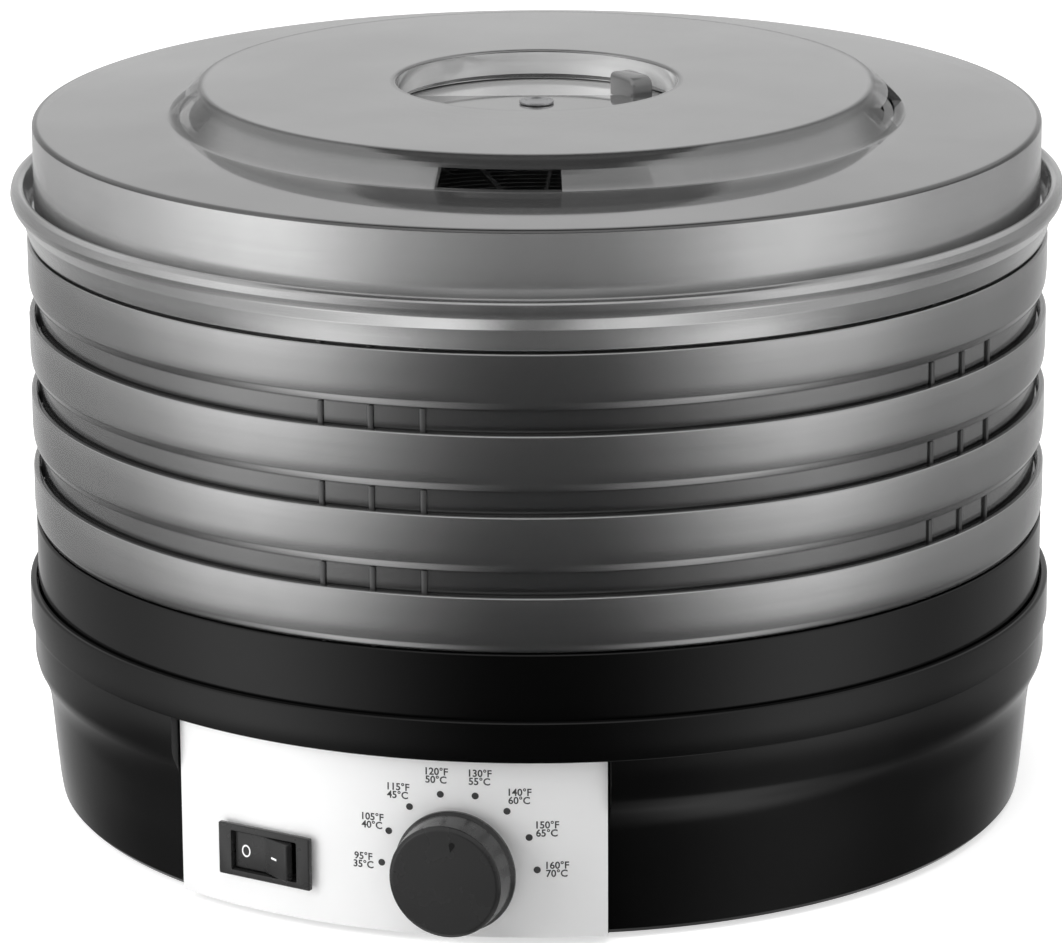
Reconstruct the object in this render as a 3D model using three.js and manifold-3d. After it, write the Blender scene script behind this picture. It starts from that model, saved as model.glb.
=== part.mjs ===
// Round five-tray food dehydrator: a black base with a fan, a ring heater and a control panel,
// five nesting trays, and a lid with a turning vent. Millimetres, +Z up. The origin is on the
// surface it stands on, on the stack's axis, and the control panel faces -Y.

import * as THREE from 'three';
import { mergeVertices } from 'three/addons/utils/BufferGeometryUtils.js';
import Module from 'manifold-3d';

const wasm = await Module();
wasm.setup();

// ---- driving dimensions ----

const GAP = 0.3; // left between pieces that touch
const FACETS = 36; // sides of every large circle
const SMALL_FACETS = 10; // sides of screws, feet and shafts

const BAND_R = 160; // outside of a tray's band, the widest part of the stack below the flare
const NECK_R = 157; // outside of a tray's neck, which drops into the rim below
const RIM_INNER_R = 158;
const TRAY_BORE_R = 155.2;
const TRAY_COUNT = 5;
const TRAY_PITCH = 24.5;
const FIRST_BAND_Z = 91.8; // lower edge of the lowest tray's band
const BAND_HEIGHT = 17;
const NECK_HEIGHT = 12.2;
const LEDGE_HEIGHT = 12; // ledge inside the rim that carries the next tray
const TRAY_FLOOR = 2.3;
const FLARE_R = 164.8; // widest point of the top tray's lip

const PLATE_BOTTOM = 1.8;
const PLATE_TOP = 4.2;
const PLATE_R = 149.9;
const COLLAR_R = 162.2;
const COLLAR_BOTTOM = 58.8;
const COLLAR_TOP = 71.4;
const DECK_SEAT = 62.5;
const DECK_R = 159.6;
const DECK_TOP = FIRST_BAND_Z - GAP;
const DECK_FLOOR = 68;
const DECK_UNDERSIDE = 65.8;
const OUTLET_R = 50;

const PANEL_R = 158.1; // face of the curved control panel
const PANEL_THICKNESS = 1.2;
const PANEL_HALF_ANGLE = 25.25;
const PANEL_BOTTOM = 2.8;
const PANEL_TOP = COLLAR_BOTTOM - GAP;
const PANEL_SEAT_R = PANEL_R - PANEL_THICKNESS - GAP;

const SWITCH_ANGLE = -13.1; // round from the front, towards +X
const SWITCH_Z = 21.3;
const BEZEL = { width: 32.5, height: 16.4, thickness: 1.9 };
const SWITCH_BODY = { width: 26.4, height: 13.2, depth: 17 };
const ROCKER = { width: 21.4, height: 11.6, depth: 7 };
const ROCKER_TILT = 11; // either side of level
const ROCKER_WINDOW = { width: 23.4, height: 12.6 };

const KNOB_X = 25.2;
const KNOB_Z = 24.3;
const KNOB_BACK_Y = -158.4;
const KNOB_FACE_Y = -169.5;
const KNOB_BACK_R = 18.8;
const KNOB_FACE_R = 17.3;
const KNOB_SHAFT_R = 3;

const LID_R = 157.6;
const LID_WALL = 1.8;
const LID_SHOULDER_Z = 218.4;
const PLATFORM_R = 105.5;
const PLATFORM_Z = 228.4;
const SLOPE_FOOT = { r: 115, z: 219.2 };
const RECESS_R = 44;
const SHELF_Z = 220.7;
const LID_TURN = 18; // how far the lid is turned on the stack
const SLOT_ANGLE = -95.8;
const SLOT_COUNT = 4;
const SLOT = { from: -9.5, to: 9.5, low: 219.5, high: 225 };
const WINDOW = { from: -10.5, to: 24, low: 218.3, high: 225.2 };
const DIAL_FLOOR_Z = 218.4;
const DIAL_ROOF_Z = 226.1;
const TAB = { angle: 30, r: 34.5, width: 15, depth: 8, height: 8.1 };

// ---- materials ----

const finish = (color, roughness, metalness, opacity = 1) =>
  new THREE.MeshStandardMaterial({
    color, roughness, metalness, opacity, transparent: opacity < 1,
  });

const blackGloss = finish(0x0b0b0c, 0.16, 0);
const blackMatt = finish(0x141414, 0.55, 0);
const satinSilver = finish(0xd9dadb, 0.32, 0.85);
const smokePlastic = finish(0x8b8e90, 0.12, 0, 0.55);
const rubber = finish(0x1b1b1b, 0.9, 0);
const steel = finish(0xa9abad, 0.35, 1);
const sheetSteel = finish(0x9c9ea0, 0.45, 1);
const mica = finish(0xb9a98a, 0.7, 0);
const nichrome = finish(0x6f6a64, 0.5, 0.9);

// ---- geometry helpers ----

const radians = (degrees) => (degrees * Math.PI) / 180;

// Keeps only position, merges shared corners and turns the faces outwards.
function closed(geometry) {
  const bare = geometry.index ? geometry.toNonIndexed() : geometry.clone();
  bare.deleteAttribute('normal');
  bare.deleteAttribute('uv');
  const merged = mergeVertices(bare, 1e-4);
  const { array } = merged.attributes.position;
  const source = merged.index.array;
  const corner = (i) => new THREE.Vector3().fromArray(array, 3 * i);
  const kept = [];
  let volume = 0;
  for (let i = 0; i < source.length; i += 3) {
    const [a, b, c] = [source[i], source[i + 1], source[i + 2]];
    if (a === b || b === c || c === a) continue;
    kept.push(a, b, c);
    volume += corner(a).dot(corner(b).cross(corner(c)));
  }
  if (volume < 0) {
    for (let i = 0; i < kept.length; i += 3) {
      [kept[i + 1], kept[i + 2]] = [kept[i + 2], kept[i + 1]];
    }
  }
  merged.setIndex(kept);
  return merged;
}

function solidOf(geometry) {
  const whole = closed(geometry);
  return new wasm.Manifold(new wasm.Mesh({
    numProp: 3,
    vertProperties: Float32Array.from(whole.attributes.position.array),
    triVerts: Uint32Array.from(whole.index.array),
  }));
}

function geometryOf(solid) {
  const { vertProperties, triVerts } = solid.getMesh();
  const geometry = new THREE.BufferGeometry();
  geometry.setAttribute('position', new THREE.BufferAttribute(vertProperties, 3));
  geometry.setIndex(new THREE.BufferAttribute(triVerts, 1));
  geometry.computeVertexNormals();
  return geometry;
}

const join = (first, ...others) => others.reduce((sum, next) => sum.add(next), first);
const cut = (first, ...others) => others.reduce((rest, next) => rest.subtract(next), first);

// A ring or disc turned about Z from a closed outline of [radius, height] points.
function turned(outline, facets = FACETS) {
  const points = [...outline, outline[0]].map(([r, z]) => new THREE.Vector2(r, z));
  return solidOf(new THREE.LatheGeometry(points, facets).rotateX(Math.PI / 2));
}

// The same outline turned about -Y, with height measured outwards through the front.
function turnedForward(outline, x, z, facets = FACETS) {
  const points = [...outline, outline[0]].map(([r, h]) => new THREE.Vector2(r, h));
  const geometry = new THREE.LatheGeometry(points, facets).rotateX(Math.PI);
  return solidOf(geometry.translate(x, 0, z));
}

const rod = (r, low, high, facets = SMALL_FACETS) =>
  turned([[0, low], [r, low], [r, high], [0, high]], facets);

const forwardRod = (r, back, front, x, z, facets = SMALL_FACETS) =>
  turnedForward([[0, back], [r, back], [r, front], [0, front]], x, z, facets);

const block = (width, depth, height, x = 0, y = 0, z = 0) =>
  solidOf(new THREE.BoxGeometry(width, depth, height).translate(x, y, z));

// A flat outline of [x, y] points raised from low to high.
function prism(outline, low, high) {
  const shape = new THREE.Shape(outline.map(([x, y]) => new THREE.Vector2(x, y)));
  const geometry = new THREE.ExtrudeGeometry(shape, { depth: high - low, bevelEnabled: false });
  return solidOf(geometry.translate(0, 0, low));
}

const polar = (r, degrees) => [r * Math.cos(radians(degrees)), r * Math.sin(radians(degrees))];

// A piece of a ring, from one direction to another, counted from +X.
function sector(inner, outer, from, to, low, high, steps = 1) {
  const outside = [];
  const inside = [];
  for (let i = 0; i <= steps; i += 1) {
    const angle = from + ((to - from) * i) / steps;
    outside.push(polar(outer, angle));
    inside.unshift(polar(inner, angle));
  }
  return prism([...outside, ...inside], low, high);
}

const around = (count, start, make) =>
  Array.from({ length: count }, (_, i) => make(start + (360 / count) * i));

const movedTo = (solid, r, degrees) => {
  const [x, y] = polar(r, degrees);
  return solid.translate([x, y, 0]);
};

// ---- assembly ----

const group = new THREE.Group();
const lidGroup = new THREE.Group();
lidGroup.rotation.z = radians(LID_TURN);
group.add(lidGroup);

function place(name, solid, material, parent = group) {
  const mesh = new THREE.Mesh(geometryOf(solid), material);
  mesh.name = name;
  parent.add(mesh);
  return mesh;
}

// ---- base housing: a drum with a collar, cut away for the control panel ----

const FRONT = -90; // the control panel's direction, counted from +X
const POST_RING_R = 146;
const POST_R = 7;
const POST_START = 25; // keeps the posts clear of the gland, the switch and the thermostat
const POST_TOP = 26;
const SCREW_R = 1.6;
const SCREW_HOLE_R = 2;
const GLAND_Z = 20;
const GLAND_R = 5;

const switchCut = () => {
  const hole = block(SWITCH_BODY.width + 2 * GAP, 30, SWITCH_BODY.height + 2 * GAP, 0, -150, SWITCH_Z);
  return hole.rotate([0, 0, SWITCH_ANGLE]);
};
const shaftCut = () => forwardRod(4.5 + GAP, 120, 170, KNOB_X, KNOB_Z);

function baseHousing() {
  const drum = turned([
    [150.3, PLATE_BOTTOM], [152.6, PLATE_BOTTOM], [153.8, 3.2], [154.5, 8], [156.4, 30],
    [157.5, 37], [160.2, 43.6], [161.2, 47], [161.2, COLLAR_BOTTOM], [COLLAR_R, COLLAR_BOTTOM],
    [COLLAR_R, 70.6], [161.4, COLLAR_TOP], [DECK_R + 0.35, COLLAR_TOP],
    [DECK_R + 0.35, DECK_SEAT], [157, DECK_SEAT], [157, 47], [153.8, 37], [151.4, 8], [150.3, 6],
  ]);
  const wide = PANEL_HALF_ANGLE + 2.2;
  const lowerBoss = sector(
    150.8, PANEL_SEAT_R, FRONT - PANEL_HALF_ANGLE - 0.5, FRONT + PANEL_HALF_ANGLE + 0.5,
    PANEL_BOTTOM - 0.5, 46, 8,
  );
  const upperBoss = sector(153.4, 158.2, FRONT - wide, FRONT + wide, 44, 61.5, 8);
  const recess = sector(
    PANEL_SEAT_R, 168, FRONT - PANEL_HALF_ANGLE - 0.2, FRONT + PANEL_HALF_ANGLE + 0.2,
    PANEL_BOTTOM - 0.2, COLLAR_BOTTOM, 8,
  );
  const posts = around(4, POST_START, (angle) =>
    movedTo(rod(POST_R, PLATE_TOP + GAP, POST_TOP), POST_RING_R, angle));
  const pilots = around(4, POST_START, (angle) =>
    movedTo(rod(SCREW_HOLE_R, 0, POST_TOP - 6), POST_RING_R, angle));
  const glandHole = forwardRod(GLAND_R + GAP, -170, -140, 0, GLAND_Z);
  const shell = join(drum, lowerBoss, upperBoss, ...posts);
  return cut(shell, recess, ...pilots, glandHole, switchCut(), shaftCut());
}
place('base_housing', baseHousing(), blackGloss);

function controlPanel() {
  const plate = sector(
    PANEL_R - PANEL_THICKNESS, PANEL_R, FRONT - PANEL_HALF_ANGLE, FRONT + PANEL_HALF_ANGLE,
    PANEL_BOTTOM, PANEL_TOP, 8,
  );
  return cut(plate, switchCut(), shaftCut());
}
place('control_panel', controlPanel(), satinSilver);

// ---- bottom plate, feet and screws ----

const FOOT_RING_R = 126;
const FOOT_R = 9;
const FOOT_STEM_R = 3;
const BRACKET_RING_R = 66;
const BRACKET_Z = 34;
const BRACKET_THICKNESS = 1.6;

function bottomPlate() {
  const disc = rod(PLATE_R, PLATE_BOTTOM, PLATE_TOP, FACETS);
  const posts = around(3, 30, (angle) =>
    movedTo(rod(5, PLATE_TOP - 0.5, BRACKET_Z - GAP), BRACKET_RING_R, angle));
  const pilots = around(3, 30, (angle) =>
    movedTo(rod(SCREW_HOLE_R, 20, BRACKET_Z + 1), BRACKET_RING_R, angle));
  const footHoles = around(4, 45, (angle) =>
    movedTo(rod(FOOT_STEM_R + GAP, 0, 10), FOOT_RING_R, angle));
  const screwHoles = around(4, POST_START, (angle) =>
    movedTo(rod(SCREW_HOLE_R, 0, 10), POST_RING_R, angle));
  const intakes = [[16, 34], [38, 56]].flatMap(([inner, outer]) =>
    around(8, 0, (angle) => sector(inner, outer, angle + 6, angle + 39, 0, 10)));
  return cut(join(disc, ...posts), ...pilots, ...footHoles, ...screwHoles, ...intakes);
}
place('bottom_plate', bottomPlate(), blackMatt);

around(4, 45, (angle) => movedTo(
  turned([
    [0, 0], [FOOT_R - 1, 0], [FOOT_R, 0.6], [FOOT_R, PLATE_BOTTOM - GAP],
    [FOOT_STEM_R, PLATE_BOTTOM - GAP], [FOOT_STEM_R, PLATE_TOP + 2], [0, PLATE_TOP + 2],
  ], SMALL_FACETS), FOOT_RING_R, angle,
)).forEach((foot, i) => place(`foot_${i + 1}`, foot, rubber));

// A pan-head screw whose shank points up from the underside of its head.
const screw = (headR, headHeight, seat, tip) => turned([
  [0, seat - headHeight], [headR - 0.6, seat - headHeight], [headR, seat - 0.5 * headHeight],
  [headR, seat], [SCREW_R, seat], [SCREW_R, tip], [0, tip],
], SMALL_FACETS);

around(4, POST_START, (angle) =>
  movedTo(screw(2.9, 1.1, PLATE_BOTTOM - GAP, 18), POST_RING_R, angle))
  .forEach((piece, i) => place(`plate_screw_${i + 1}`, piece, steel));

// ---- fan: motor on a three-armed bracket, shaft and blades ----

const MOTOR_R = 20;
const SHAFT_R = 2;
const FAN_LOW = 42;
const FAN_HIGH = 49.5;
const BLADE_COUNT = 7;
const BLADE_REACH = 45;

place('fan_motor', cut(
  turned([
    [0, 9], [9, 9], [9, 11], [MOTOR_R - 1.5, 11], [MOTOR_R, 12.5],
    [MOTOR_R, BRACKET_Z - 2], [MOTOR_R - 1.5, BRACKET_Z - GAP], [0, BRACKET_Z - GAP],
  ], 24),
  rod(SHAFT_R + GAP, 19.5, BRACKET_Z + 1),
), sheetSteel);

function motorBracket() {
  const top = BRACKET_Z + BRACKET_THICKNESS;
  const hub = turned([[5, BRACKET_Z], [17, BRACKET_Z], [17, top], [5, top]], 24);
  const armLength = BRACKET_RING_R - 4;
  const armCentre = (BRACKET_RING_R + 16) / 2;
  const arms = around(3, 30, (angle) =>
    block(armLength, 11, BRACKET_THICKNESS, armCentre, 0, BRACKET_Z + BRACKET_THICKNESS / 2)
      .rotate([0, 0, angle]));
  const holes = around(3, 30, (angle) => movedTo(rod(SCREW_HOLE_R, 30, 40), BRACKET_RING_R, angle));
  return cut(join(hub, ...arms), ...holes);
}
place('motor_bracket', motorBracket(), sheetSteel);

const bracketTop = BRACKET_Z + BRACKET_THICKNESS + GAP;
around(3, 30, (angle) => movedTo(turned([
  [0, 23], [SCREW_R, 23], [SCREW_R, bracketTop], [3, bracketTop], [3, bracketTop + 1],
  [2.2, bracketTop + 1.8], [0, bracketTop + 1.8],
], SMALL_FACETS), BRACKET_RING_R, angle))
  .forEach((piece, i) => place(`bracket_screw_${i + 1}`, piece, steel));

place('motor_shaft', rod(SHAFT_R, 20, FAN_HIGH + 1), steel);

function fanBlade() {
  const hub = rod(10, FAN_LOW, FAN_HIGH, 24);
  const middle = (FAN_LOW + FAN_HIGH) / 2;
  const blades = around(BLADE_COUNT, 0, (angle) =>
    block(BLADE_REACH - 8, 16, 1.4).rotate([26, 0, 0])
      .translate([8 + (BLADE_REACH - 8) / 2, 0, middle]).rotate([0, 0, angle]));
  return cut(join(hub, ...blades), rod(SHAFT_R + GAP, 0, 60));
}
place('fan_blade', fanBlade(), blackMatt);

// ---- heater: duct, crossed mica sheets, ring element and thermal fuse ----

const DUCT_R = 48.6;
const DUCT_FLANGE_R = 63;
const DUCT_RING_R = 58;
const DUCT_BOTTOM = 40;
const DUCT_SEAT = DECK_UNDERSIDE - GAP;
const ELEMENT_R = 36;
const ELEMENT_WIRE_R = 2.4;
const ELEMENT_Z = 57;
const MICA = { low: 51.5, high: 63, thickness: 1 };

function heaterDuct() {
  const top = DUCT_SEAT;
  const sleeve = turned([
    [DUCT_R, DUCT_BOTTOM], [DUCT_R + 1.2, DUCT_BOTTOM], [DUCT_R + 1.2, top - 1.2],
    [DUCT_FLANGE_R, top - 1.2], [DUCT_FLANGE_R, top], [DUCT_R, top],
  ], 32);
  const holes = around(3, 90, (angle) => movedTo(rod(SCREW_HOLE_R, 60, 70), DUCT_RING_R, angle));
  return cut(sleeve, ...holes);
}
place('heater_duct', heaterDuct(), sheetSteel);

around(3, 90, (angle) =>
  movedTo(screw(3, 1.6, DUCT_SEAT - 1.2 - GAP, DECK_FLOOR - 0.7), DUCT_RING_R, angle))
  .forEach((piece, i) => place(`duct_screw_${i + 1}`, piece, steel));

function micaFrame() {
  const height = MICA.high - MICA.low;
  const middle = (MICA.high + MICA.low) / 2;
  const length = 2 * (DUCT_R - 1);
  const cross = join(
    block(length, MICA.thickness, height, 0, 0, middle),
    block(MICA.thickness, length, height, 0, 0, middle),
  );
  const half = ELEMENT_WIRE_R + 0.5;
  const notches = around(4, 0, (angle) =>
    block(2 * half, 6, 20, ELEMENT_R, 0, ELEMENT_Z - half + 10).rotate([0, 0, angle]));
  return cut(cross, ...notches);
}
place('mica_frame', micaFrame(), mica);
place('heating_element', solidOf(
  new THREE.TorusGeometry(ELEMENT_R, ELEMENT_WIRE_R, 6, 28).translate(0, 0, ELEMENT_Z),
), nichrome);
place('thermal_fuse', solidOf(
  new THREE.CylinderGeometry(2, 2, 12, 12).rotateZ(Math.PI / 2).translate(20, 2.9, ELEMENT_Z),
), steel);

// ---- deck: the black neck that the lowest tray sits in, with its air outlet ----

function deck() {
  const ring = turned([
    [DECK_R, DECK_SEAT + GAP], [DECK_R, DECK_TOP - 0.6], [DECK_R - 0.6, DECK_TOP],
    [RIM_INNER_R, DECK_TOP], [RIM_INNER_R, 79.3], [154.8, 79.3], [152.6, DECK_FLOOR],
    [OUTLET_R, DECK_FLOOR], [OUTLET_R, DECK_UNDERSIDE], [154.6, DECK_UNDERSIDE],
    [157.3, DECK_SEAT + GAP],
  ]);
  const pilots = around(3, 90, (angle) =>
    movedTo(rod(SCREW_HOLE_R, 60, DECK_FLOOR - 0.4), DUCT_RING_R, angle));
  return cut(ring, ...pilots);
}
place('upper_deck', deck(), blackGloss);

function airGrille() {
  const low = DECK_FLOOR + GAP;
  const disc = turned([
    [0, low], [OUTLET_R - 2.4, low], [OUTLET_R - 2.4, DECK_UNDERSIDE + 0.6],
    [OUTLET_R - 0.5, DECK_UNDERSIDE + 0.6], [OUTLET_R - 0.5, low], [54, low], [54, 70],
    [52, 71.2], [0, 72.4],
  ], FACETS);
  const slots = [[8, 25], [29, 46]].flatMap(([inner, outer]) =>
    around(8, 0, (angle) => sector(inner, outer, angle + 5, angle + 40, 60, 80)));
  return cut(disc, ...slots);
}
place('air_grille', airGrille(), blackMatt);

// ---- rocker switch ----

const switchGroup = new THREE.Group();
switchGroup.rotation.z = radians(SWITCH_ANGLE);
group.add(switchGroup);
const BEZEL_BACK_Y = -(PANEL_R + GAP);
const BEZEL_FACE_Y = BEZEL_BACK_Y - BEZEL.thickness;
const ROCKER_PIVOT_Y = BEZEL_FACE_Y + 3;

function switchBezel() {
  const flange = block(
    BEZEL.width, BEZEL.thickness, BEZEL.height, 0, BEZEL_BACK_Y - BEZEL.thickness / 2, SWITCH_Z,
  );
  const body = block(
    SWITCH_BODY.width, SWITCH_BODY.depth, SWITCH_BODY.height,
    0, BEZEL_BACK_Y + SWITCH_BODY.depth / 2 - 0.5, SWITCH_Z,
  );
  const well = block(
    ROCKER_WINDOW.width, 26, ROCKER_WINDOW.height, 0, BEZEL_FACE_Y, SWITCH_Z,
  );
  return cut(join(flange, body), well);
}
place('switch_bezel', switchBezel(), blackMatt, switchGroup);

// Seen from above: a shallow V whose arms tip in and out about the pivot.
function rocker() {
  const half = ROCKER.width / 2;
  const lip = -3.6;
  const outline = [
    [-half, lip], [0, lip + 1.9], [half, lip], [half - 0.5, lip + 3.2],
    [4, ROCKER.depth - 2], [-4, ROCKER.depth - 2], [-half + 0.5, lip + 3.2],
  ];
  return prism(outline, -ROCKER.height / 2, ROCKER.height / 2);
}
const rockerMesh = place('switch_rocker', rocker(), blackGloss, switchGroup);
rockerMesh.position.set(0, ROCKER_PIVOT_Y, SWITCH_Z);
rockerMesh.rotation.z = radians(-ROCKER_TILT);

// ---- thermostat and knob ----

function thermostatBody() {
  const can = block(22, 15, 22, KNOB_X, -138, KNOB_Z);
  const bush = forwardRod(4.5, 140, 157.2, KNOB_X, KNOB_Z);
  return cut(join(can, bush), forwardRod(KNOB_SHAFT_R + GAP, 135, 170, KNOB_X, KNOB_Z));
}
place('thermostat_body', thermostatBody(), sheetSteel);
place('thermostat_shaft', forwardRod(KNOB_SHAFT_R, 135.5, 165, KNOB_X, KNOB_Z), steel);

function knob() {
  const back = -KNOB_BACK_Y;
  const face = -KNOB_FACE_Y;
  const body = turnedForward([
    [0, back], [KNOB_BACK_R, back], [KNOB_BACK_R, back + 1.2], [KNOB_FACE_R + 0.5, back + 2.2],
    [KNOB_FACE_R, face - 1], [KNOB_FACE_R - 1, face], [0, face],
  ], KNOB_X, KNOB_Z, 28);
  return cut(body, forwardRod(KNOB_SHAFT_R + GAP, back - 2, 165 + GAP, KNOB_X, KNOB_Z));
}
place('thermostat_knob', knob(), blackMatt);

// ---- cord gland at the back, and the terminal block inside it ----

const GLAND_FLANGE_Y = 156.8;
place('cord_gland', turnedForward([
  [3.2, -GLAND_FLANGE_Y - 3.4], [6.6, -GLAND_FLANGE_Y - 3.4], [8, -GLAND_FLANGE_Y - 2],
  [8, -GLAND_FLANGE_Y], [GLAND_R, -GLAND_FLANGE_Y], [GLAND_R, -146], [3.2, -146],
], 0, GLAND_Z, SMALL_FACETS), rubber);
place('terminal_block', block(32, 14, 12, 0, 126, PLATE_TOP + GAP + 6), blackMatt);

// ---- trays ----

// Outline of a tray's wall, with height counted from the lower edge of its band.
const plainWall = [
  [NECK_R, -NECK_HEIGHT], [NECK_R, 0], [158.7, 0], [BAND_R, 2.6], [BAND_R, BAND_HEIGHT],
  [RIM_INNER_R, BAND_HEIGHT], [RIM_INNER_R, LEDGE_HEIGHT], [TRAY_BORE_R, LEDGE_HEIGHT],
  [TRAY_BORE_R, -NECK_HEIGHT],
];

// The top tray's wall opens into a rolled lip that the lid drops into.
const LIP_LEDGE = 0.2;
const flaredWall = [
  [NECK_R, -NECK_HEIGHT], [NECK_R, -6.6], [159.2, -5.6], [161.4, 0], [164.2, 4.2],
  [FLARE_R, 6.4], [164.2, 8.6], [162.4, 9.8], [160.7, 8.8], [159.1, 4], [158.6, LIP_LEDGE],
  [TRAY_BORE_R, LIP_LEDGE], [TRAY_BORE_R, -NECK_HEIGHT],
];

function tray(wall, bandZ) {
  const floorZ = bandZ - NECK_HEIGHT;
  const ring = turned(wall.map(([r, z]) => [r, z + bandZ]));
  const floor = rod(TRAY_BORE_R + 0.6, floorZ, floorZ + TRAY_FLOOR, FACETS);
  const hole = rod(26, floorZ - 1, floorZ + 5, 24);
  const cells = [[31, 89], [92, 151]].flatMap(([inner, outer], row) => {
    const count = 8 * (row + 1);
    const step = 360 / count;
    const bar = 3 / (1 + row);
    return around(count, 0, (angle) =>
      sector(inner, outer, angle + bar, angle + step - bar, floorZ - 1, floorZ + 5));
  });
  return join(ring, cut(floor, hole, ...cells));
}

for (let i = 0; i < TRAY_COUNT; i += 1) {
  const top = i === TRAY_COUNT - 1;
  const bandZ = FIRST_BAND_Z + i * TRAY_PITCH;
  place(`tray_${i + 1}`, tray(top ? flaredWall : plainWall, bandZ), smokePlastic);
}

// ---- lid, vent dial and its pivot pin ----

const LID_BOTTOM = FIRST_BAND_Z + (TRAY_COUNT - 1) * TRAY_PITCH + LIP_LEDGE + GAP;
const PIN_R = 1.6;

const slotCutters = (size) => around(SLOT_COUNT, SLOT_ANGLE, (angle) =>
  sector(96, 122, angle + size.from, angle + size.to, size.low, size.high, 2));

function lid() {
  const shell = turned([
    [LID_R, LID_BOTTOM], [LID_R, LID_SHOULDER_Z - 1.2], [LID_R - 1.2, LID_SHOULDER_Z],
    [SLOPE_FOOT.r, SLOPE_FOOT.z], [PLATFORM_R, PLATFORM_Z - 0.6], [PLATFORM_R - 0.9, PLATFORM_Z],
    [RECESS_R, PLATFORM_Z], [RECESS_R, SHELF_Z - 0.2], [RECESS_R + LID_WALL, SHELF_Z - 0.2],
    [RECESS_R + LID_WALL, PLATFORM_Z - LID_WALL], [PLATFORM_R - 1.6, PLATFORM_Z - LID_WALL],
    [SLOPE_FOOT.r - 1.3, SLOPE_FOOT.z - LID_WALL], [LID_R - LID_WALL, LID_SHOULDER_Z - 2],
    [LID_R - LID_WALL, LID_BOTTOM],
  ]);
  // The shelf fills the near side of the recess, up to a straight edge behind the pin,
  // and leaves a track for the dial's finger tab.
  const shelfDisc = rod(RECESS_R + LID_WALL, SHELF_Z - 1.9, SHELF_Z, FACETS);
  const beyond = block(120, 60, 10, 0, 11 + 30, SHELF_Z);
  const track = sector(TAB.r - 5, TAB.r + 5, 13, 80, SHELF_Z - 4, SHELF_Z + 4, 6);
  const shelf = cut(shelfDisc, beyond, track);
  return cut(join(shell, shelf), rod(PIN_R + GAP, 200, 240), ...slotCutters(SLOT));
}
place('lid', lid(), smokePlastic, lidGroup);

function ventDial() {
  const inner = RECESS_R + LID_WALL + 1.1;
  const shell = turned([
    [0, DIAL_FLOOR_Z - 1.6], [inner + 1.6, DIAL_FLOOR_Z - 1.6], [inner + 1.6, DIAL_ROOF_Z - 1.6],
    [PLATFORM_R - 3.8, DIAL_ROOF_Z - 1.6], [SLOPE_FOOT.r - 4.8, SLOPE_FOOT.z - 2.4],
    [SLOPE_FOOT.r - 3.2, SLOPE_FOOT.z - 1.2], [PLATFORM_R - 2.9, DIAL_ROOF_Z],
    [inner, DIAL_ROOF_Z], [inner, DIAL_FLOOR_Z], [0, DIAL_FLOOR_Z],
  ]);
  const tab = prism([
    [-TAB.width / 2, 0], [TAB.width / 2, 0], [TAB.width / 2, TAB.height - 2],
    [TAB.width / 2 - 2, TAB.height], [-TAB.width / 2 + 5, TAB.height],
    [-TAB.width / 2, TAB.height - 5],
  ], -TAB.depth / 2, TAB.depth / 2)
    .rotate([90, 0, 0])
    .rotate([0, 0, TAB.angle + 90])
    .translate([...polar(TAB.r, TAB.angle), DIAL_FLOOR_Z - 0.2]);
  return cut(join(shell, tab), rod(PIN_R + GAP, 200, 240), ...slotCutters(WINDOW));
}
place('vent_dial', ventDial(), smokePlastic, lidGroup);

const headSeat = SHELF_Z + GAP;
const tailSeat = DIAL_FLOOR_Z - 1.6 - GAP;
place('vent_pin', turned([
  [0, tailSeat - 1.2], [5, tailSeat - 1.2], [5, tailSeat], [PIN_R, tailSeat], [PIN_R, headSeat],
  [5.4, headSeat], [4.4, headSeat + 0.9], [0, headSeat + 0.9],
], SMALL_FACETS), steel, lidGroup);

export default group;
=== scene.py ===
"""Round five-tray food dehydrator: visible surfaces, materials, light and camera.

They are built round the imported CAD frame, and the heights and radii that the frame holds are read
from it. Outlines are in millimetres and become metres when a mesh is made. Azimuths are in degrees
from the front (-Y), turning towards +X.
"""

import math

import bmesh
import bpy
from mathutils import Matrix, Vector


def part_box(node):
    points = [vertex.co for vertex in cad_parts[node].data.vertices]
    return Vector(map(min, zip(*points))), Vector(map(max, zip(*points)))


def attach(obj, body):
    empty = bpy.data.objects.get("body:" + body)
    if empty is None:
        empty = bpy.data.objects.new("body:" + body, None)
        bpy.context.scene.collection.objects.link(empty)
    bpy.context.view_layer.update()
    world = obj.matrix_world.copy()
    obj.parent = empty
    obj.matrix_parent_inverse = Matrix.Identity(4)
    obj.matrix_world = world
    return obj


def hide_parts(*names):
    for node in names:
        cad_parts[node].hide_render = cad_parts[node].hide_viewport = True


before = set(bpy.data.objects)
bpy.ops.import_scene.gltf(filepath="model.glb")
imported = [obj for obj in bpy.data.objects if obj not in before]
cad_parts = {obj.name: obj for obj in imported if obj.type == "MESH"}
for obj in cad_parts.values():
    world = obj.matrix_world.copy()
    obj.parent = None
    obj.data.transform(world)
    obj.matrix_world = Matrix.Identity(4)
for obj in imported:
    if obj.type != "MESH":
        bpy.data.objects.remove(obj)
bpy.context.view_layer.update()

MM = 0.001
TURN = 192  # sides of a large circle
SMOOTH_ANGLE = 32  # degrees; sharper edges stay sharp


# ---- places taken from the frame, in millimetres ----

def low_mm(node):
    return [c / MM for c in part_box(node)[0]]


def high_mm(node):
    return [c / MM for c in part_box(node)[1]]


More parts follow.
